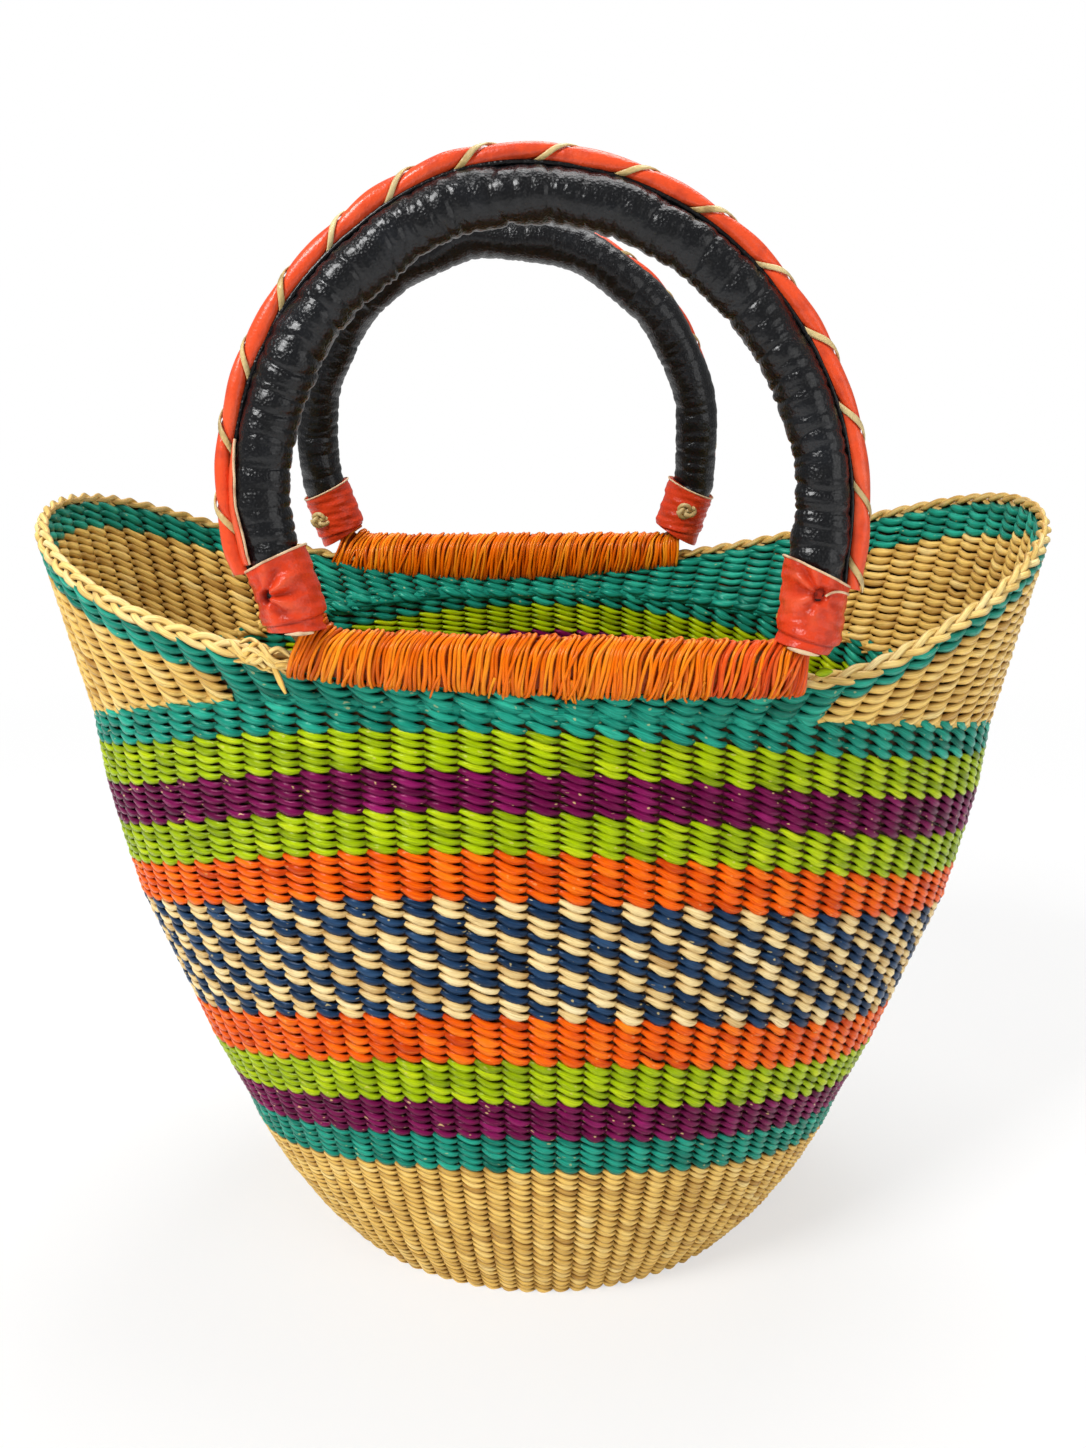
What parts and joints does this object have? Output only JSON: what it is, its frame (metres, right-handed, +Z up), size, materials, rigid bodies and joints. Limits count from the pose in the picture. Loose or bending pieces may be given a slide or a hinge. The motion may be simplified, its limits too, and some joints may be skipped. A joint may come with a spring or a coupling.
{
  "type": "bolga basket",
  "caption": "Handwoven grass shopping basket with striped bands, raised ends, a bound rim and two leather-wrapped hoop handles that tilt in their lashings",
  "frame": {"origin": "middle of the base on the floor", "axes": "+X towards the right-hand end, -Y the front face, +Z up"},
  "size_m": [0.422, 0.268, 0.4536],
  "materials": {
    "natural_grass": "dry",
    "teal_grass": "dyed",
    "purple_grass": "dyed",
    "lime_grass": "dyed",
    "orange_grass": "dyed",
    "navy_grass": "dyed",
    "black_leather": "glossy",
    "red_leather": "satin",
    "rawhide": "matt",
    "stick_wood": "bare"
  },
  "bodies": {
    "basket": {"woven_base": "natural_grass", "lower_natural_wall": "natural_grass", "lower_teal_band": "teal_grass", "lower_purple_band": "purple_grass", "lower_green_band": "lime_grass", "lower_orange_band": "orange_grass", "checker_band": "navy_grass", "upper_orange_band": "orange_grass", "middle_green_band": "lime_grass", "upper_purple_band": "purple_grass", "upper_green_band": "lime_grass", "upper_teal_band": "teal_grass", "left_end_gusset": "natural_grass", "right_end_gusset": "natural_grass", "teal_rim_band": "teal_grass", "braided_rim_border": "natural_grass", "front_lashing": "orange_grass", "back_lashing": "orange_grass"},
    "front_handle": {"front_core_hoop": "stick_wood", "front_grass_padding": "natural_grass", "front_leather_wrap": "black_leather", "front_red_piping": "red_leather", "front_lacing_thong": "rawhide", "front_left_cuff": "red_leather", "front_right_cuff": "red_leather", "front_left_toggle_knot": "rawhide", "front_right_toggle_knot": "rawhide"},
    "back_handle": {"back_core_hoop": "stick_wood", "back_grass_padding": "natural_grass", "back_leather_wrap": "black_leather", "back_red_piping": "red_leather", "back_lacing_thong": "rawhide", "back_left_cuff": "red_leather", "back_right_cuff": "red_leather", "back_left_toggle_knot": "rawhide", "back_right_toggle_knot": "rawhide"}
  },
  "joints": [
    {"name": "front_handle_tilt", "type": "hinge", "parent": "basket", "child": "front_handle", "pos_m": [0.0038, -0.123, 0.28616], "axis": [-0.9997, 0, 0.0262], "range_deg": [-20, 30]},
    {"name": "back_handle_tilt", "type": "hinge", "parent": "basket", "child": "back_handle", "pos_m": [-0.0175, 0.123, 0.28866], "axis": [1, 0, 0.0026], "range_deg": [-20, 24]}
  ]
}
